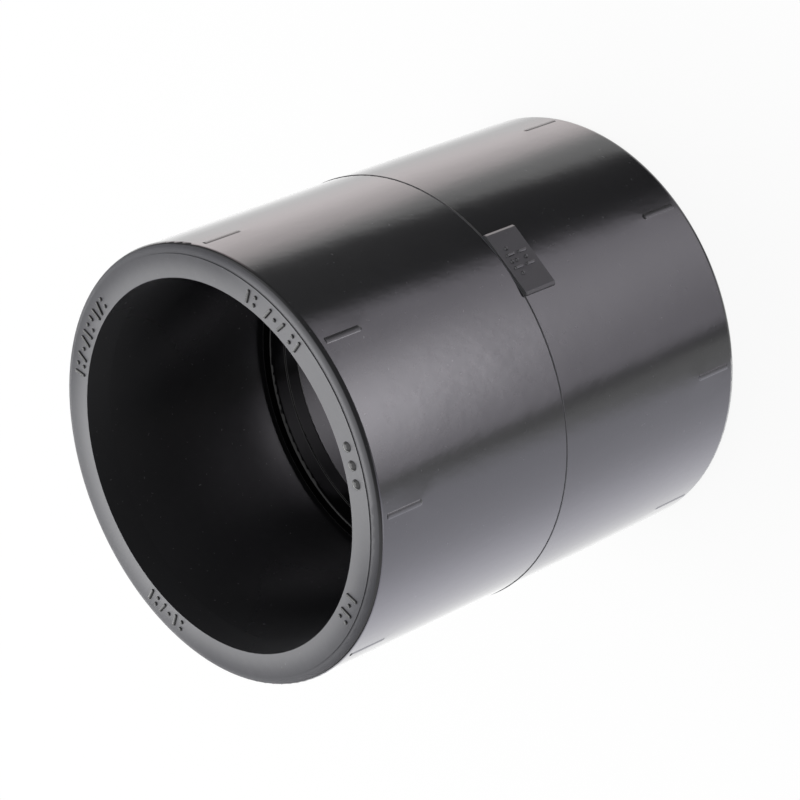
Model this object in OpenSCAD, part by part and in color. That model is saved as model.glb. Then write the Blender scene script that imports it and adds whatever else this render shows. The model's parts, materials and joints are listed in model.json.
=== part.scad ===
// Straight socket coupling for solvent-welded plastic pressure pipe.
// One moulded piece: two pipe sockets, one at each end, with a low stop between them.
// It stands on its lower end face, with its axis along Z and the origin in the middle of that face.

/* [Pipe sockets] */
// Outside diameter of the pipe that each socket takes
pipe_d = 40; // [32:1:50]
// Clearance on the diameter between the pipe and the socket
pipe_fit = 0.2; // [0.1:0.05:0.5]
// Depth from an end face to the crest of the stop
socket_depth = 25.5; // [20:0.5:32]
// Extra radius of each socket's mouth, which flares out to lead the pipe in
lead_in = 0.3; // [0.1:0.05:0.8]
// Length of that flare, from the end face to the plain wall of the socket
lead_len = 3; // [0.5:0.5:6]

/* [Central stop] */
// Width of the stop's crest, from one socket to the other
stop_w = 4; // [2.4:0.2:6]
// Height of the stop above the wall of the socket
stop_h = 1.2; // [0.8:0.05:2.5]
// Axial run of the stop's steep shoulder, from the wall of the socket up to the crest
flank_run = 0.15; // [0.05:0.05:1.5]
// Radius along both edges of the crest
crest_r = 0.4; // [0.1:0.05:0.5]

/* [Body] */
// Wall round each socket, at the end of the body
wall = 3.9; // [2.8:0.1:6]
// Draft of the outside, widening from each end to the parting plane, in degrees
draft = 0.25; // [0.05:0.05:1]
// Radius round the outer rim of each end
rim_r = 0.8; // [0.4:0.05:1.2]
// Flat land between that radius and the fine step on the end face
rim_land = 0.25; // [0.05:0.05:0.5]
// Height of that step, by which the rim lies back from the end face
face_step = 0.1; // [0.05:0.01:0.3]

/* [Parting line] */
// Width of the fine ridge that the mould's halves leave round the middle
parting_w = 0.24; // [0.1:0.02:0.4]
// Height of that ridge
parting_h = 0.06; // [0.04:0.01:0.1]

/* [Alignment ticks] */
// Number of ticks round each end
tick_count = 8; // [4:1:12]
// Width of a tick
tick_w = 0.7; // [0.4:0.05:1]
// Height of a tick above the wall
tick_h = 0.07; // [0.04:0.01:0.12]
// Length of a tick
tick_len = 4.5; // [2:0.5:9]
// Plain wall between the rim's radius and the start of a tick
tick_inset = 0.6; // [0.05:0.05:2]
// Angle from the pad's middle round to the nearest tick, clockwise from above
tick_bearing = 1.4; // [0:0.2:20]

/* [Marking pad] */
// Width of the flat pad beside the parting line
pad_w = 7.9; // [5:0.1:11]
// Length of the pad along the body
pad_l = 4.4; // [2.5:0.1:8]
// Height of the pad's flat above the wall, at the middle of the pad
pad_rise = 0.16; // [0.04:0.02:0.4]
// Width of the bevel along both ends of the pad
pad_bevel = 0.3; // [0.1:0.05:0.6]
// Depth of that bevel
pad_bevel_h = 0.2; // [0.05:0.05:0.3]

/* [Face dots] */
// Number of raised dots on the upper end face
dot_count = 3; // [1:1:6]
// Diameter of a dot
dot_d = 1.2; // [0.8:0.05:1.3]
// Height of a dot
dot_h = 0.3; // [0.2:0.02:0.4]
// Distance from one dot to the next
dot_pitch = 1.95; // [1.6:0.05:3]
// Angle from the pad round to the middle dot, clockwise from above
dot_bearing = 32.5; // [0:0.5:180]

/* [Hidden] */

$fn = 96;
bead_fn = 32;
// Depth that the pad reaches into the wall at its side edges
pad_root = 0.4;

length = 2 * socket_depth + stop_w;
half = length / 2;
socket_r = (pipe_d + pipe_fit) / 2;
stop_r = socket_r - stop_h;
end_r = socket_r + wall;
middle_r = end_r + half * tan(draft);
rim_z = half - face_step;
step_r = end_r - rim_r - rim_land;
// Middle of the flat ring between the mouth and the step
face_r = (socket_r + lead_in + step_r) / 2;
// Distance from an end face to the end of the rim's radius
rim_depth = face_step + rim_r;
// The pad faces this way, toward the front of the part
front = -90;

// Radius of a circle that stands h proud of a surface where it is w wide
function bead_r(w, h) = (w * w / 4 + h * h) / (2 * h);
function half_chord(r, y) = sqrt(r * r - y * y);
function unit(v) = v / norm(v);

// A corner p between the points before and after gets a round of radius r: half its angle,
// the point where the round leaves the side toward one neighbour, and the round's centre.
function corner_half_angle(p, before, after) =
    acos(unit(before - p) * unit(after - p)) / 2;
function corner_start(p, toward, half_angle, r) =
    p + unit(toward - p) * r / tan(half_angle);
function corner_centre(p, before, after, half_angle, r) =
    p + unit(unit(before - p) + unit(after - p)) * r / sin(half_angle);

// One side of the body's section, as radius and height above the parting plane
mouth_edge = [socket_r + lead_in, half];
socket_top = [socket_r, half - lead_len];
flank_root = [socket_r, stop_w / 2 + flank_run];
crest = [stop_r, stop_w / 2];
crest_middle = [stop_r, 0];
step_top = [step_r, half];
step_foot = [step_r, rim_z];
rim = [end_r, rim_z];
wall_middle = [middle_r, 0];

function down(p) = [p[0], -p[1]];

module corner_round(p, before, after, r) {
    half_angle = corner_half_angle(p, before, after);
    translate(corner_centre(p, before, after, half_angle, r)) circle(r);
}

// The straight outline, with the rim and crest corners cut back to where their rounds begin
module straight_section() {
    rim_angle = corner_half_angle(rim, step_foot, wall_middle);
    crest_angle = corner_half_angle(crest, crest_middle, flank_root);
    upper = [
        corner_start(crest, crest_middle, crest_angle, crest_r),
        corner_start(crest, flank_root, crest_angle, crest_r),
        flank_root,
        socket_top,
        mouth_edge,
        step_top,
        step_foot,
        corner_start(rim, step_foot, rim_angle, rim_r),
        corner_start(rim, wall_middle, rim_angle, rim_r),
        wall_middle
    ];
    polygon(concat(upper, [for (i = [len(upper) - 2 : -1 : 0]) down(upper[i])]));
}

// The section of the body, from the bore out to the wall
module section() {
    straight_section();
    for (side = [0, 1]) mirror([0, side]) {
        corner_round(rim, step_foot, wall_middle, rim_r);
        corner_round(crest, crest_middle, flank_root, crest_r);
    }
    ridge_r = bead_r(parting_w, parting_h);
    translate([middle_r + parting_h - ridge_r, 0]) circle(ridge_r, $fn = bead_fn);
    translate([stop_r - parting_h + ridge_r, 0]) circle(ridge_r, $fn = bead_fn);
}

// A raised rib along the drafted wall, with a round end away from the rim
module tick() {
    r = bead_r(tick_w, tick_h);
    start = half - rim_depth - tick_inset;
    wall_r = middle_r - start * tan(draft);
    translate([wall_r + tick_h - r, 0, start]) rotate([0, 180 - draft, 0]) {
        cylinder(r = r, h = tick_len, $fn = bead_fn);
        translate([0, 0, tick_len]) sphere(r, $fn = bead_fn);
    }
}

module ticks() {
    for (i = [0 : tick_count - 1], side = [0, 1])
        rotate([0, 0, front - tick_bearing + i * 360 / tick_count]) mirror([0, 0, side]) tick();
}

// The flat pad lies below the parting plane, with its upper edge on that plane
module marking_pad() {
    back = half_chord(end_r, pad_w / 2) - pad_root;
    flat = middle_r + pad_rise;
    side = pad_w / 2;
    rotate([0, 0, front]) translate([0, 0, -pad_l]) linear_extrude(pad_l)
        polygon([
            [back, -side],
            [flat - pad_bevel_h, -side],
            [flat, pad_bevel - side],
            [flat, side - pad_bevel],
            [flat - pad_bevel_h, side],
            [back, side]
        ]);
}

module face_dots() {
    r = bead_r(dot_d, dot_h);
    step_angle = 2 * asin(dot_pitch / 2 / face_r);
    first = front - dot_bearing - (dot_count - 1) / 2 * step_angle;
    for (i = [0 : dot_count - 1])
        rotate([0, 0, first + i * step_angle]) translate([face_r, 0, half + dot_h - r])
            sphere(r, $fn = bead_fn);
}

module coupling() {
    color([0.2, 0.2, 0.21]) translate([0, 0, half]) {
        rotate_extrude() section();
        ticks();
        marking_pad();
        face_dots();
    }
}

coupling();
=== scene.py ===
import json
import math
from types import SimpleNamespace

import bmesh
import bpy
from mathutils import Matrix, Vector


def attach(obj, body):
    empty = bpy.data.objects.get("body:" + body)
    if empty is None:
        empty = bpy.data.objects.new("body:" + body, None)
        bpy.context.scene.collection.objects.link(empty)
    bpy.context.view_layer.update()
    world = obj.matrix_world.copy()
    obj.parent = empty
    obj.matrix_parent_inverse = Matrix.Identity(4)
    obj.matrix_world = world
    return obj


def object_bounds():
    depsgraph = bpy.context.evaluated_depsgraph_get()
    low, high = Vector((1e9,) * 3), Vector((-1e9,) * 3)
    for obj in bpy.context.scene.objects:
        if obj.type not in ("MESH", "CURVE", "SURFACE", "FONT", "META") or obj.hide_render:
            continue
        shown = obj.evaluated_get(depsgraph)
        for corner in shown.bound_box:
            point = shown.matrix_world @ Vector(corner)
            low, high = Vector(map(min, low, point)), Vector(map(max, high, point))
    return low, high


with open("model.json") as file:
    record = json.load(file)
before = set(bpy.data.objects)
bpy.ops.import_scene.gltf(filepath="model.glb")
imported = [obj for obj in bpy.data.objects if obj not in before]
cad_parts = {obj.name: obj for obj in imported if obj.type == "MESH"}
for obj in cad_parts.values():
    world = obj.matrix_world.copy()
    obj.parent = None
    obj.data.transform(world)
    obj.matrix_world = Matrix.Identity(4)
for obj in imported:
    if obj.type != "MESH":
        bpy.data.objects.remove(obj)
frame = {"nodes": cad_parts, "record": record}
cad_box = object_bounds()

# Looks of a straight pipe socket coupling, moulded in one piece of dark grey plastic.
# It stands on its lower end face, so +Z runs along the pipe axis and up.

MM = 0.001
MICROMETRE = 0.000001
WHITE = (1, 1, 1)
COUPLING = frame["nodes"]["coupling"]
SLOT = "moulded_plastic"

# Sizes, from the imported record's mounts
MOUNTS = {mount["name"]: mount for mount in frame["record"]["mounts"]}
SOCKET_R = MOUNTS["upper_socket"]["dims"]["r_mm"] * MM
LOWER_SOCKET_Z = MOUNTS["lower_socket"]["pos_m"][2]
UPPER_SOCKET_Z = MOUNTS["upper_socket"]["pos_m"][2]
PARTING_Z = (LOWER_SOCKET_Z + UPPER_SOCKET_Z) / 2
FACE_Z = 2 * PARTING_Z
# Middle of the flat ring of an end face, and the ring's edges
RING_R = MOUNTS["lower_end_face"]["pos_m"][0]
RING_INNER_R, RING_OUTER_R = 20.4 * MM, 22.9 * MM
# The pad faces -Y, its flat is the part's furthest point that way, and it ends at the parting line
PAD_BEARING = -90
PAD_Y = cad_box[0].y
PAD_LENGTH = 4.4 * MM
PAD_MIDDLE_Z = PARTING_Z - PAD_LENGTH / 2
# The wall widens from each end to the parting line
WALL_END_R = 24 * MM
WALL_DRAFT = math.tan(math.radians(0.25))


def linked(name, data):
    """New object of this data, in the scene."""
    made = bpy.data.objects.new(name, data)
    bpy.context.scene.collection.objects.link(made)
    return made


def mesh_object(name, mesh, material):
    """New object of the finished mesh, with one material."""
    data = bpy.data.meshes.new(name)
    mesh.to_mesh(data)
    mesh.free()
    data.materials.append(material)
    return linked(name, data)


def finished_piece(name, mesh, material):
    """Makes the object, gives it the finish and lets it ride on the part."""
    bmesh.ops.recalc_face_normals(mesh, faces=mesh.faces)
    piece = mesh_object(name, mesh, material)
    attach(piece, "root")
    return piece


def direction(azimuth, elevation):
    """Unit vector of an azimuth, anticlockwise from above and from +X, and an elevation, in degrees."""
    a, e = math.radians(azimuth), math.radians(elevation)
    return Vector((math.cos(a) * math.cos(e), math.sin(a) * math.cos(e), math.sin(e)))


# Raised marks: width of a stroke, height over the surface, and how far the foot is sunk and spread
MARK_STROKE = 0.34 * MM
MARK_HEIGHT = 0.18 * MM
MARK_SINK = 0.03 * MM
MARK_EDGE = 0.05 * MM
# Side, shoulder and top of a mark: how far each lies inside the outline, and its share of the height
MARK_LOOPS = [(0, 0.5), (0.8 * MARK_EDGE, 0.85), (2 * MARK_EDGE, 1)]
ROUND_STEPS = 6
DOT_STEPS = 20
# Lean of a lean bar in degrees, share of the height that a short bar has, and a dot's radius
LEAN = 18
SHORT_SHARE = 0.5
MARK_DOT_R = 0.6 * MARK_STROKE
# Dots of a glyph, as shares of its height from its middle
DOT_PLACES = {".": [0], ":": [0.3, -0.3]}


def capsule(length, width):
    """Outline of a straight stroke with round ends, along the second axis."""
    r = width / 2
    reach = length / 2 - r
    points = []
    for end, start in ((1, 0), (-1, math.pi)):
        for i in range(ROUND_STEPS + 1):
            angle = start + math.pi * i / ROUND_STEPS
            points.append((r * math.cos(angle), end * reach + r * math.sin(angle)))
    return points


def circle(r):
    points = []
    for i in range(DOT_STEPS):
        angle = 2 * math.pi * i / DOT_STEPS
        points.append((r * math.cos(angle), r * math.sin(angle)))
    return points


def moved(outline, dx, dy, turn=0):
    """The outline, turned by some degrees and then moved."""
    rotation = Matrix.Rotation(math.radians(turn), 2)
    return [tuple(rotation @ Vector(point) + Vector((dx, dy))) for point in outline]


def inset(outline, amount):
    """The outline, moved inwards."""
    result = []
    count = len(outline)
    for i, here in enumerate(outline):
        along = (Vector(outline[(i + 1) % count]) - Vector(outline[i - 1])).normalized()
        result.append(tuple(Vector(here) + Vector((-along.y, along.x)) * amount))
    return result


def add_loops(mesh, loops, place):
    """Adds one vertex loop for each outline and height, and the side faces between them."""
    rings = [[mesh.verts.new(place(x, y, height)) for x, y in outline] for outline, height in loops]
    count = len(rings[0])
    for low, high in zip(rings, rings[1:]):
        for i in range(count):
            j = (i + 1) % count
            mesh.faces.new((low[i], low[j], high[j], high[i]))
    return rings


def raise_mark(mesh, outline, place):
    """A raised solid on an outline: sunk foot, drafted side, rounded shoulder and narrow flat top."""
    loops = [(inset(outline, -MARK_EDGE), -MARK_SINK)]
    for inward, share in MARK_LOOPS:
        loops.append((inset(outline, inward), MARK_HEIGHT * share))
    rings = add_loops(mesh, loops, place)
    mesh.faces.new(rings[-1])
    mesh.faces.new(reversed(rings[0]))


def add_glyph(mesh, glyph, x, height, place):
    """One generic mark: full bar, lean bar, short bar at the top, or one or two dots."""
    if glyph in "|/":
        turn = -LEAN if glyph == "/" else 0
        raise_mark(mesh, moved(capsule(height, MARK_STROKE), x, 0, turn), place)
    if glyph == "'":
        short = height * SHORT_SHARE
        raise_mark(mesh, moved(capsule(short, MARK_STROKE), x, (height - short) / 2), place)
    for share in DOT_PLACES.get(glyph, []):
        raise_mark(mesh, moved(circle(MARK_DOT_R), x, share * height), place)


def add_row(mesh, pattern, pitch, height, place):
    """A row of marks along the place's first axis, centred on its origin."""
    for i, glyph in enumerate(pattern):
        add_glyph(mesh, glyph, (i - (len(pattern) - 1) / 2) * pitch, height, place)


# Rows of marks on the upper end face: degrees from the pad, clockwise from above, and pattern
FACE_ROWS = [
    (-21.5, "|:"),
    (-12, "/./"),
    (-3.5, ":|"),
    (76.5, "|.|:"),
    (165, ":|./:|"),
    (256.5, "|:/./|:'|/:"),
]
FACE_MARK_HEIGHT = 1.56 * MM
FACE_MARK_PITCH = 1.04 * MM


def face_marks(material):
    """The rows of marks round the upper end face."""
    mesh = bmesh.new()
    for bearing, pattern in FACE_ROWS:
        middle = math.radians(PAD_BEARING - bearing)

        def place(x, y, z, middle=middle):
            angle = middle - x / RING_R
            r = RING_R + y
            return (r * math.cos(angle), r * math.sin(angle), FACE_Z + z)

        add_row(mesh, pattern, FACE_MARK_PITCH, FACE_MARK_HEIGHT, place)
    return finished_piece("face_marks", mesh, material)


# Rows of marks on the pad: height over its middle, and pattern
PAD_ROWS = [(-0.85 * MM, "|.|"), (0.85 * MM, ".|:|.")]
PAD_MARK_HEIGHT = 1.25 * MM
PAD_MARK_PITCH = 0.8 * MM


def pad_marks(material):
    """The rows of marks on the pad."""
    mesh = bmesh.new()
    for offset, pattern in PAD_ROWS:

        def place(x, y, z, offset=offset):
            return (x, PAD_Y - z, PAD_MIDDLE_Z + offset + y)

        add_row(mesh, pattern, PAD_MARK_PITCH, PAD_MARK_HEIGHT, place)
    return finished_piece("pad_marks", mesh, material)


# The parting ridge: its size, how far its round reaches to either side of the crest in degrees, and its steps
RIDGE_WIDTH, RIDGE_HEIGHT = 0.24 * MM, 0.06 * MM
RIDGE_SPREAD = 65
RIDGE_STEPS, RIDGE_ROUND_STEPS = 360, 8


def parting_ridge(material):
    """The fine ridge on the parting line, as on the solid but rounder, so that its line is unbroken."""
    round_r = (RIDGE_WIDTH ** 2 / 4 + RIDGE_HEIGHT ** 2) / (2 * RIDGE_HEIGHT)
    middle_r = WALL_END_R + PARTING_Z * WALL_DRAFT + RIDGE_HEIGHT - round_r
    section = [(middle_r - round_r, 0)]
    for i in range(RIDGE_ROUND_STEPS + 1):
        angle = math.radians(RIDGE_SPREAD * (2 * i / RIDGE_ROUND_STEPS - 1))
        section.append((middle_r + round_r * math.cos(angle), round_r * math.sin(angle)))
    mesh = bmesh.new()
    rings = []
    for i in range(RIDGE_STEPS):
        turn = 2 * math.pi * i / RIDGE_STEPS
        points = [(r * math.cos(turn), r * math.sin(turn), PARTING_Z + z) for r, z in section]
        rings.append([mesh.verts.new(point) for point in points])
    for here, there in zip(rings, rings[1:] + rings[:1]):
        for i in range(len(section)):
            mesh.faces.new((here[i - 1], here[i], there[i], there[i - 1]))
    for face in mesh.faces:
        face.smooth = True
    return finished_piece("parting_ridge", mesh, material)


class Graph:
    """Short names for making and joining shader nodes."""

    def __init__(self, tree):
        self.tree = tree
        tree.nodes.clear()

    def node(self, kind, **inputs):
        made = self.tree.nodes.new(kind)
        for name, value in inputs.items():
            self.feed(made.inputs[name.replace("_", " ")], value)
        return made

    def feed(self, socket, value):
        if isinstance(value, bpy.types.NodeSocket):
            self.tree.links.new(value, socket)
        else:
            socket.default_value = value

    def fed(self, kind, settings, values):
        """Output of a node with these settings, its first inputs fed in order."""
        made = self.tree.nodes.new(kind)
        for name, value in settings.items():
            setattr(made, name, value)
        for socket, value in zip(made.inputs, values):
            self.feed(socket, value)
        return made.outputs[0]

    def math(self, operation, *values):
        return self.fed("ShaderNodeMath", {"operation": operation}, values)

    def vector(self, operation, *values):
        return self.fed("ShaderNodeVectorMath", {"operation": operation}, values)

    def length(self, vector):
        return self.vector("LENGTH", vector).node.outputs["Value"]

    def dot(self, a, b):
        return self.vector("DOT_PRODUCT", a, b).node.outputs["Value"]

    def scale(self, vector, factor):
        made = self.tree.nodes.new("ShaderNodeVectorMath")
        made.operation = "SCALE"
        self.feed(made.inputs[0], vector)
        self.feed(made.inputs["Scale"], factor)
        return made.outputs[0]

    def ease(self, value, start, end, low=0.0, high=1.0):
        """Goes smoothly from low to high as the value goes from start to end."""
        return self.fed("ShaderNodeMapRange", {"interpolation_type": "SMOOTHSTEP"},
                        (value, start, end, low, high))

    def ease_past(self, value, base, span, low=0.0, high=1.0):
        """Goes smoothly from low to high over a span of distances past a base value."""
        return self.ease(value, base + span[0], base + span[1], low, high)

    def rest(self, mask):
        """Mask of what another mask leaves out."""
        return self.math("SUBTRACT", 1, mask)

    def blend(self, factor, a, b):
        """Number that goes from a to b with the factor."""
        return self.math("ADD", self.math("MULTIPLY", self.rest(factor), a), self.math("MULTIPLY", factor, b))

    def mix(self, factor, a, b):
        """Colour that goes from a to b with the factor."""
        made = self.tree.nodes.new("ShaderNodeMix")
        made.data_type = "RGBA"
        for name, value in (("Factor", factor), ("A", a), ("B", b)):
            sockets = [socket for socket in made.inputs if socket.name == name and socket.enabled]
            self.feed(sockets[0], value)
        return [socket for socket in made.outputs if socket.enabled][0]

    def noise(self, vector, scale, detail):
        return self.node("ShaderNodeTexNoise", Vector=vector, Scale=scale, Detail=detail).outputs[0]

    def total(self, *values):
        result = values[0]
        for value in values[1:]:
            result = self.math("ADD", result, value)
        return result


# Where one finish passes into the next. The spans are distances outward, or upward, from these surfaces:
# the upper end face, for the marks and dots on it
RAISED_SPAN = (0.01 * MM, 0.05 * MM)
# the sockets' wall, for the stop inside it and the end faces outside it
STOP_SPAN = (-0.1 * MM, -0.03 * MM)
RING_SPAN = (-0.1 * MM, 0.1 * MM)
# the middle of the end faces' ring, for the outside
OUTSIDE_SPAN = (0, 1 * MM)
# the drafted wall, for what stands proud of it
PROUD_SPAN = (0.01 * MM, 0.04 * MM)
# the pad's flat along +Y, so inward, for its marks and for the flat itself
PAD_MARK_SPAN = (-0.05 * MM, -0.02 * MM)
PAD_FLAT_SPAN = (0.02 * MM, 0.06 * MM)
# the parting line, from the nearer end, for the ridge on it
RIDGE_SPAN = (-0.25 * MM, -0.15 * MM)
# The upright share of the surface's normal on the end faces, the stop's crest and the stop's shoulders
FACE_UPRIGHT = (0.55, 0.70)
CREST_UPRIGHT = (0.2, 0.45)
SHOULDER_UPRIGHT = (0.9, 0.98)
# The near side's middle, and the cosines of the angle round the axis from there, for near and far side
NEAR_AZIMUTH = -106
NEAR_COSINES = (0.60, 0.95)
FAR_COSINES = (-0.9, -0.6)
# Depth to which the sockets' mouths are painted paler, as painted light, and how much of that is left
# opposite the pad, which is painted shade there, between two cosines of the angle round the axis from the pad
PAINTED_LIGHT_DEPTH = 15 * MM
PAINTED_LIGHT_COSINES = (-1, -0.4)
PAINTED_LIGHT_LEFT = 0.4


def finish_masks(g, place):
    """Where the different finishes, and the painted light and painted shade, are, each as a mask from 0 to 1,
    with the distance from the axis.
    """
    axes = g.node("ShaderNodeSeparateXYZ", Vector=place).outputs
    flat = g.vector("MULTIPLY", place, (1, 1, 0))
    around = g.vector("NORMALIZE", flat)
    radius = g.length(flat)
    normal = g.node("ShaderNodeNewGeometry").outputs["Normal"]
    upright = g.math("ABSOLUTE", g.node("ShaderNodeSeparateXYZ", Vector=normal).outputs["Z"])
    depth = g.math("SUBTRACT", PARTING_Z, g.math("ABSOLUTE", g.math("SUBTRACT", axes["Z"], PARTING_Z)))

    raised = g.ease_past(axes["Z"], FACE_Z, RAISED_SPAN)
    on_ring = g.ease_past(radius, SOCKET_R, RING_SPAN)
    level = g.math("MULTIPLY", g.ease(upright, *FACE_UPRIGHT), on_ring)
    outside = g.ease_past(radius, RING_R, OUTSIDE_SPAN)
    on_stop = g.ease_past(radius, SOCKET_R, STOP_SPAN, 1, 0)
    crest = g.math("MULTIPLY", on_stop, g.ease(upright, *CREST_UPRIGHT, 1, 0))
    shoulder = g.math("MULTIPLY", on_stop, g.ease(upright, *SHOULDER_UPRIGHT))
    wall_r = g.math("ADD", WALL_END_R, g.math("MULTIPLY", depth, WALL_DRAFT))
    proud = g.ease_past(g.math("SUBTRACT", radius, wall_r), 0, PROUD_SPAN)
    pad_mark = g.ease_past(axes["Y"], PAD_Y, PAD_MARK_SPAN, 1, 0)
    pad_flat = g.ease_past(axes["Y"], PAD_Y, PAD_FLAT_SPAN, 1, 0)
    toward_pad = g.dot(around, direction(PAD_BEARING, 0))
    toward_near = g.dot(around, direction(NEAR_AZIMUTH, 0))
    # Painted light inside the sockets' mouths, fading with depth, and less opposite the pad as painted shade
    mouth = g.math("MULTIPLY", g.ease(depth, 0, PAINTED_LIGHT_DEPTH, 1, 0), g.rest(outside))
    return SimpleNamespace(
        z=axes["Z"],
        radius=radius,
        on_face=g.math("MULTIPLY", level, g.rest(raised)),
        outside=outside,
        polished=g.math("MAXIMUM", raised, on_stop),
        shoulder=shoulder,
        stop=g.math("MAXIMUM", crest, shoulder),
        proud=proud,
        ridge=g.math("MULTIPLY", proud, g.ease_past(depth, PARTING_Z, RIDGE_SPAN)),
        pad_mark=pad_mark,
        on_pad=g.math("MULTIPLY", pad_flat, g.rest(pad_mark)),
        near=g.ease(toward_near, *NEAR_COSINES),
        far=g.ease(toward_near, *FAR_COSINES, 1, 0),
        mouth_painted_light=g.math("MULTIPLY", mouth, g.ease(toward_pad, *PAINTED_LIGHT_COSINES, PAINTED_LIGHT_LEFT, 1)),
    )


# Colours of the plastic, linear
WALL_DARK = (0.0138, 0.0138, 0.0154, 1)
WALL_LIGHT = (0.0180, 0.0180, 0.0198, 1)
POLISHED = (0.0070, 0.0070, 0.0078, 1)
# Near-black colour on the stop's shoulders: painted shade
SHOULDER_SHADE = (0.0015, 0.0015, 0.0016, 1)
# Paler colour in the sockets' mouths: painted light, with painted shade opposite the pad
MOUTH_PAINTED_LIGHT = (0.050, 0.050, 0.053, 1)
FACE_DARK = (0.066, 0.066, 0.073, 1)
FACE_LIGHT = (0.084, 0.084, 0.092, 1)
SPECK = (0.2, 0.2, 0.21, 1)
# Noises: how many cells a metre has, and how many finer layers there are
MOTTLE = (900, 4)
PATCHES = (90, 2)
SPECKS = (2600, 1)
# Levels of the noise between which a speck starts, and how much of its colour shows
SPECK_LEVELS = (0.74, 0.8)
SPECK_SHARE = 0.25


def plastic_colour(g, place, masks, mottle):
    colour = g.mix(mottle, WALL_DARK, WALL_LIGHT)
    # Painted light in the sockets' mouths, less opposite the pad
    colour = g.mix(masks.mouth_painted_light, colour, MOUTH_PAINTED_LIGHT)
    colour = g.mix(masks.on_face, colour, g.mix(mottle, FACE_DARK, FACE_LIGHT))
    speck = g.ease(g.noise(place, *SPECKS), *SPECK_LEVELS)
    colour = g.mix(g.math("MULTIPLY", speck, SPECK_SHARE), colour, SPECK)
    colour = g.mix(masks.polished, colour, POLISHED)
    # Painted shade on the stop's shoulders
    return g.mix(masks.shoulder, colour, SHOULDER_SHADE)


# Roughness of each finish, and how much the noises add on the wall and on the end faces
WALL_ROUGHNESS, WALL_ROUGHNESS_EXTRA = 0.12, 0.04
FACE_ROUGHNESS, FACE_ROUGHNESS_EXTRA = 0.42, 0.08
BORE_ROUGHNESS = 0.24
POLISHED_ROUGHNESS = 0.1
PROUD_ROUGHNESS = 0.3
RIDGE_ROUGHNESS = 0.5
PAD_ROUGHNESS = 0.3


def plastic_roughness(g, place, masks, mottle):
    patches = g.noise(place, *PATCHES)
    wall = g.math("ADD", WALL_ROUGHNESS, g.math("MULTIPLY", patches, WALL_ROUGHNESS_EXTRA))
    face = g.math("ADD", FACE_ROUGHNESS, g.math("MULTIPLY", mottle, FACE_ROUGHNESS_EXTRA))
    rough = g.blend(masks.on_face, g.blend(masks.outside, BORE_ROUGHNESS, wall), face)
    rough = g.blend(masks.ridge, g.blend(masks.proud, rough, PROUD_ROUGHNESS), RIDGE_ROUGHNESS)
    rough = g.blend(masks.on_pad, rough, PAD_ROUGHNESS)
    return g.blend(g.math("MAXIMUM", masks.polished, masks.pad_mark), rough, POLISHED_ROUGHNESS)


# How much the plastic mirrors: the end faces more at the bore than at the rim and more on the far side,
# but evenly on the near side, the sockets less than the wall, and the stop's shoulders and crest hardly
SPECULAR = 0.5
FACE_INNER, FACE_OUTER, FACE_NEAR = 0.38, 0.09, 0.45
FACE_FAR_EXTRA = 0.12
STOP_SPECULAR = 0.02
# The lower socket, the root of the upper one and its mouth, and the heights over the parting line
# at which one of these passes into the next
LOWER_SOCKET_SPECULAR, ROOT_SPECULAR, MOUTH_SPECULAR = 0.3, 0.17, 0.42
ROOT_SPAN = (0, 2 * MM)
MOUTH_SPAN = (5 * MM, 15 * MM)


def plastic_specular(g, masks):
    across = g.ease(masks.radius, RING_INNER_R, RING_OUTER_R, FACE_INNER, FACE_OUTER)
    across = g.math("ADD", across, g.math("MULTIPLY", masks.far, FACE_FAR_EXTRA))
    in_socket = g.ease_past(masks.z, PARTING_Z, ROOT_SPAN, LOWER_SOCKET_SPECULAR, ROOT_SPECULAR)
    in_socket = g.blend(g.ease_past(masks.z, PARTING_Z, MOUTH_SPAN), in_socket, MOUTH_SPECULAR)
    specular = g.blend(masks.outside, in_socket, SPECULAR)
    specular = g.blend(masks.on_face, specular, g.blend(masks.near, across, FACE_NEAR))
    return g.blend(masks.stop, specular, STOP_SPECULAR)


# Unevenness of the surface: its noises, and their heights in micrometres
SWELL, SWELL_HEIGHT = (110, 1), 30
RIPPLE, RIPPLE_HEIGHT = (1000, 2), 8
GRAIN, WALL_GRAIN_HEIGHT, FACE_GRAIN_HEIGHT = (5000, 2), 0.3, 3
# The ripple is drawn out along the axis
RIPPLE_STRETCH = (1, 1, 0.6)


def plastic_height(g, place, masks):
    """Height of the surface over its smooth form, in micrometres."""
    streaked = g.vector("MULTIPLY", place, RIPPLE_STRETCH)
    grain_height = g.ease(masks.on_face, 0, 1, WALL_GRAIN_HEIGHT, FACE_GRAIN_HEIGHT)
    return g.total(
        g.math("MULTIPLY", g.noise(place, *SWELL), SWELL_HEIGHT),
        g.math("MULTIPLY", g.noise(streaked, *RIPPLE), RIPPLE_HEIGHT),
        g.math("MULTIPLY", g.noise(place, *GRAIN), grain_height),
    )


PLASTIC_IOR = 1.5


def moulded_plastic():
    """Dark plastic: glossy wall, matte end faces and pad, polished marks and stop, ripple and specks."""
    material = bpy.data.materials.new(SLOT)
    material.use_nodes = True
    g = Graph(material.node_tree)
    place = g.node("ShaderNodeTexCoord").outputs["Object"]
    masks = finish_masks(g, place)
    mottle = g.noise(place, *MOTTLE)
    bump = g.node("ShaderNodeBump", Strength=1.0, Distance=MICROMETRE, Height=plastic_height(g, place, masks))
    shader = g.node(
        "ShaderNodeBsdfPrincipled",
        Base_Color=plastic_colour(g, place, masks, mottle),
        Roughness=plastic_roughness(g, place, masks, mottle),
        Specular_IOR_Level=plastic_specular(g, masks),
        Normal=bump.outputs["Normal"],
        IOR=PLASTIC_IOR,
    )
    output = g.node("ShaderNodeOutputMaterial")
    g.feed(output.inputs["Surface"], shader.outputs["BSDF"])
    return material


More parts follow.
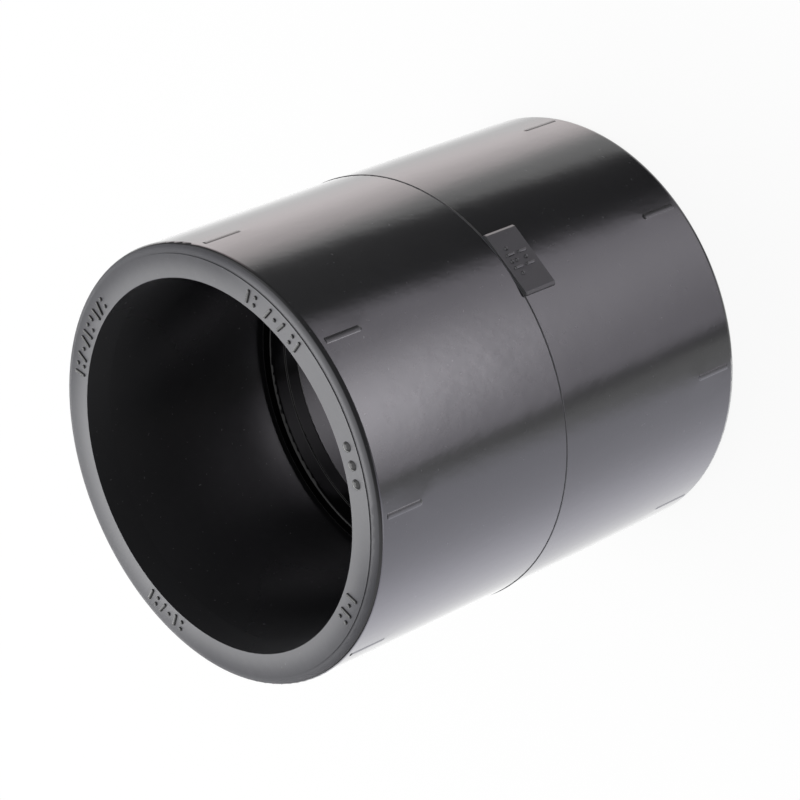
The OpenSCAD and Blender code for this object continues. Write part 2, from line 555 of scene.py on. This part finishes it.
# The studio. The photographed part lies on its side, so its wall mirrors a ring of cards and not a floor.
# Here the part stands, and the same cards are in the world below the horizon, where only gloss sees them.
# The cards hang askew: an edge's azimuth is given at EDGE_ELEVATION, and its lean is how far the edge
# moves for each degree above that.
EDGE_ELEVATION = -41.5


class Edge:
    """One upright edge of a card, with its softness to either side."""

    def __init__(self, azimuth, soft, lean=0.0):
        self.azimuth, self.soft, self.lean = azimuth, soft, lean


class Card:
    """A card of the ring. Its rise is the share of its radiance gained for each degree of elevation,
    and between its two top elevations it fades out."""

    def __init__(self, start, end, radiance, tint=WHITE, rise=0.0, top=(-24, -14)):
        self.start, self.end, self.radiance = start, end, radiance
        self.tint, self.rise, self.top = tint, rise, top


# The ring's azimuths are counted from the middle of the dark stretch between the last card and the first
RING_START = -42
CARDS = [
    # White sweep behind the part, with its brighter middle
    Card(Edge(-21.5, 2.5, 1.6), Edge(205.5, 2.5, -1.2), 1.2),
    Card(Edge(60, 20), Edge(150, 20), 0.17),
    # Warm window beside it
    Card(Edge(-8, 8.5, -0.8), Edge(26, 14), 1.17, (1.04, 0.88, 0.89), 0.022),
    # Cool card on the left
    Card(Edge(121, 34), Edge(200, 7.5, 1.3), 0.95, (0.96, 0.93, 1.2), 0.03),
    # Wall behind, in the gap between the sweep and the grey card
    Card(Edge(205.5, 2.5, -1.2), Edge(214.7, 2.5, -0.73), 0.62, WHITE, 0.16),
    # Grey card toward the camera
    Card(Edge(214.7, 2.5, -0.73), Edge(295.5, 6.5, 1.4), 2.17, (1.0, 0.95, 1.06), 0.035, (-38.3, -35.5)),
]
# Brightest spot on the grey card: its middle, and its reach to either side
SPOT = Edge(255, 0, -2.2)
SPOT_REACH_START, SPOT_REACH_END = 40, 37
SPOT_RADIANCE = 8.0
SPOT_TINT = (1, 0.97, 1.03)
# Two elevations between which the spot fades downward, and upward, and the share that is left of it there
SPOT_FOOT = (-42.3, -37.3, 0.12)
SPOT_TOP = (-38.3, -35.5, 0.1)
# Level of the room between the cards, below and above two elevations
ROOM_LOW, ROOM_LEVEL = 0.07, 0.2
ROOM_RISE = (-42, -39.5)


def ring_place(g, edge, azimuth, elevation):
    """How far round the ring a direction is from an edge, in degrees, allowing for the edge's lean."""
    leant = g.math("MULTIPLY", g.math("SUBTRACT", elevation, EDGE_ELEVATION), edge.lean)
    around = g.math("FLOORED_MODULO", g.math("SUBTRACT", azimuth, RING_START), 360)
    return g.math("SUBTRACT", around, g.math("ADD", leant, (edge.azimuth - RING_START) % 360))


def card_light(g, card, azimuth, elevation):
    """What one card adds in a direction."""
    after_start = ring_place(g, card.start, azimuth, elevation)
    after_end = ring_place(g, card.end, azimuth, elevation)
    amount = g.math("MULTIPLY", g.ease(after_start, -card.start.soft, card.start.soft),
                    g.ease(after_end, -card.end.soft, card.end.soft, 1, 0))
    amount = g.math("MULTIPLY", amount, g.ease(elevation, *card.top, 1, 0))
    over = g.math("SUBTRACT", elevation, EDGE_ELEVATION)
    gain = g.math("ADD", 1, g.math("MULTIPLY", over, card.rise))
    return g.scale([card.radiance * part for part in card.tint], g.math("MULTIPLY", amount, gain))


def spot_light(g, azimuth, elevation):
    """What the bright spot adds in a direction."""
    beside = ring_place(g, SPOT, azimuth, elevation)
    amount = g.math("MULTIPLY", g.ease(beside, -SPOT_REACH_START, 0),
                    g.ease(beside, 0, SPOT_REACH_END, 1, 0))
    low, high, left = SPOT_FOOT
    amount = g.math("MULTIPLY", amount, g.ease(elevation, low, high, left, 1))
    low, high, left = SPOT_TOP
    amount = g.math("MULTIPLY", amount, g.ease(elevation, low, high, 1, left))
    return g.scale([SPOT_RADIANCE * part for part in SPOT_TINT], amount)


def ring_of_cards(g, azimuth, elevation):
    cards = g.scale(WHITE, g.ease(elevation, *ROOM_RISE, ROOM_LOW, ROOM_LEVEL))
    for card in CARDS:
        cards = g.vector("ADD", cards, card_light(g, card, azimuth, elevation))
    return g.vector("ADD", cards, spot_light(g, azimuth, elevation))


# Above the horizon gloss sees a white room that is dark behind the camera. The reaches are cosines of the
# angle from an azimuth, between which the dark, or the window, grows to its full level
ROOM_AZIMUTH = -100
ROOM_REACH = (0.35, 0.85)
# Low window behind the part, which the left sides of the raised marks mirror, with its top elevations
WINDOW_AZIMUTH = 80
WINDOW_REACH = (0.6, 0.85)
WINDOW_TOP = (24, 30)
WINDOW_RADIANCE = 2.6
# Brighter ceiling, which the rim mirrors on the near side: the elevations where it starts, and its extra
CEILING = (36, 50)
CEILING_EXTRA = 1.0
# Level of the sky for matte surfaces, and the elevations between which the cards pass into the sky
AMBIENT = 0.55
HORIZON = (-1, 1)


def sky_light(g, toward, elevation):
    """Level above the horizon: white to the camera, plain to matte surfaces, and a room to gloss."""
    path = g.node("ShaderNodeLightPath").outputs
    room = g.ease(g.dot(toward, direction(ROOM_AZIMUTH, 0)), *ROOM_REACH, 1, ROOM_LEVEL)
    window = g.math("MULTIPLY", g.ease(g.dot(toward, direction(WINDOW_AZIMUTH, 0)), *WINDOW_REACH),
                    g.ease(elevation, *WINDOW_TOP, WINDOW_RADIANCE, 0))
    ceiling = g.ease(elevation, *CEILING, 0, CEILING_EXTRA)
    sky = g.blend(path["Is Glossy Ray"], AMBIENT, g.total(room, window, ceiling))
    seen = g.math("MAXIMUM", path["Is Camera Ray"], path["Is Transmission Ray"])
    return g.blend(seen, sky, 1.0)


def studio_world():
    world = bpy.data.worlds.new("studio")
    bpy.context.scene.world = world
    world.use_nodes = True
    # The floor would block light sampled toward the cards, so gloss finds them by itself
    world.cycles.sampling_method = "NONE"
    g = Graph(world.node_tree)
    toward = g.node("ShaderNodeTexCoord").outputs["Generated"]
    axes = g.node("ShaderNodeSeparateXYZ", Vector=toward).outputs
    elevation = g.math("DEGREES", g.math("ARCSINE", axes["Z"]))
    azimuth = g.math("DEGREES", g.math("ARCTAN2", axes["Y"], axes["X"]))
    cards = ring_of_cards(g, azimuth, elevation)
    colour = g.mix(g.ease(elevation, *HORIZON), cards, sky_light(g, toward, elevation))
    background = g.node("ShaderNodeBackground", Color=colour, Strength=1.0)
    output = g.node("ShaderNodeOutputWorld")
    g.feed(output.inputs["Surface"], background.outputs["Background"])


# The floor in metres, its matte colour, and the share of plain white that the camera sees of it
FLOOR_R = 2.5
FLOOR_STEPS = 96
FLOOR_MATTE = (0.9, 0.9, 0.9, 1)
FLOOR_SHARE = 0.92


def floor_white():
    """White: mostly plain to the camera and in reflections, matte to light, so that it takes the shadow."""
    material = bpy.data.materials.new("floor_white")
    material.use_nodes = True
    g = Graph(material.node_tree)
    path = g.node("ShaderNodeLightPath").outputs
    seen = g.math("MAXIMUM", path["Is Camera Ray"],
                  g.math("MAXIMUM", path["Is Glossy Ray"], path["Is Transmission Ray"]))
    share = g.math("MULTIPLY", seen, FLOOR_SHARE)
    matte = g.node("ShaderNodeBsdfDiffuse", Color=FLOOR_MATTE).outputs[0]
    plain = g.node("ShaderNodeEmission", Color=(*WHITE, 1), Strength=1.0).outputs[0]
    both = g.fed("ShaderNodeMixShader", {}, (share, matte, plain))
    output = g.node("ShaderNodeOutputMaterial")
    g.feed(output.inputs["Surface"], both)
    return material


def floor():
    """White floor, under the part. Gloss doesn't see it, because the cards of the ring are below it."""
    mesh = bmesh.new()
    bmesh.ops.create_circle(mesh, cap_ends=True, segments=FLOOR_STEPS, radius=FLOOR_R)
    piece = mesh_object("floor", mesh, floor_white())
    piece.visible_glossy = False


# Softbox overhead, which the upper end face mirrors toward the camera, in degrees and metres
SOFTBOX_AZIMUTH = 60
SOFTBOX_ELEVATION = 52
SOFTBOX_DISTANCE = 0.8
SOFTBOX_SIZE = 0.85
SOFTBOX_RADIANCE = 2.6


def softbox():
    lamp = bpy.data.lights.new("softbox", "AREA")
    lamp.shape = "SQUARE"
    lamp.size = SOFTBOX_SIZE
    lamp.energy = SOFTBOX_RADIANCE * math.pi * SOFTBOX_SIZE ** 2
    light = linked("softbox", lamp)
    toward = direction(SOFTBOX_AZIMUTH, SOFTBOX_ELEVATION)
    light.location = Vector((0, 0, FACE_Z)) + toward * SOFTBOX_DISTANCE
    light.rotation_euler = toward.to_track_quat("Z", "Y").to_euler()


# The camera, at the photograph's viewing angle. Its roll lays the standing part over as the photograph
# shows it. The lens and the sensor are in millimetres, and the reach in metres
CAMERA_AT = Vector((-88.17, -251.94, 252.41)) * MM
CAMERA_RIGHT = Vector((-0.5557, -0.4361, -0.7078))
CAMERA_DOWN = Vector((-0.7927, 0.5347, 0.2928))
CAMERA_LENS = 144.5
CAMERA_SENSOR = 36
CAMERA_REACH = (0.01, 20)


def camera():
    data = bpy.data.cameras.new("camera")
    data.sensor_width = CAMERA_SENSOR
    data.lens = CAMERA_LENS
    data.clip_start, data.clip_end = CAMERA_REACH
    seen = linked("camera", data)
    right = CAMERA_RIGHT.normalized()
    back = right.cross(-CAMERA_DOWN).normalized()
    up = back.cross(right)
    turn = Matrix((right, up, back)).transposed().to_4x4()
    seen.matrix_world = Matrix.Translation(CAMERA_AT) @ turn
    bpy.context.scene.camera = seen


plastic = moulded_plastic()
COUPLING.data.materials.clear()
COUPLING.data.materials.append(plastic)
face_marks(plastic)
pad_marks(plastic)
parting_ridge(plastic)
floor()
studio_world()
softbox()
camera()
bpy.context.scene.view_settings.view_transform = "Standard"
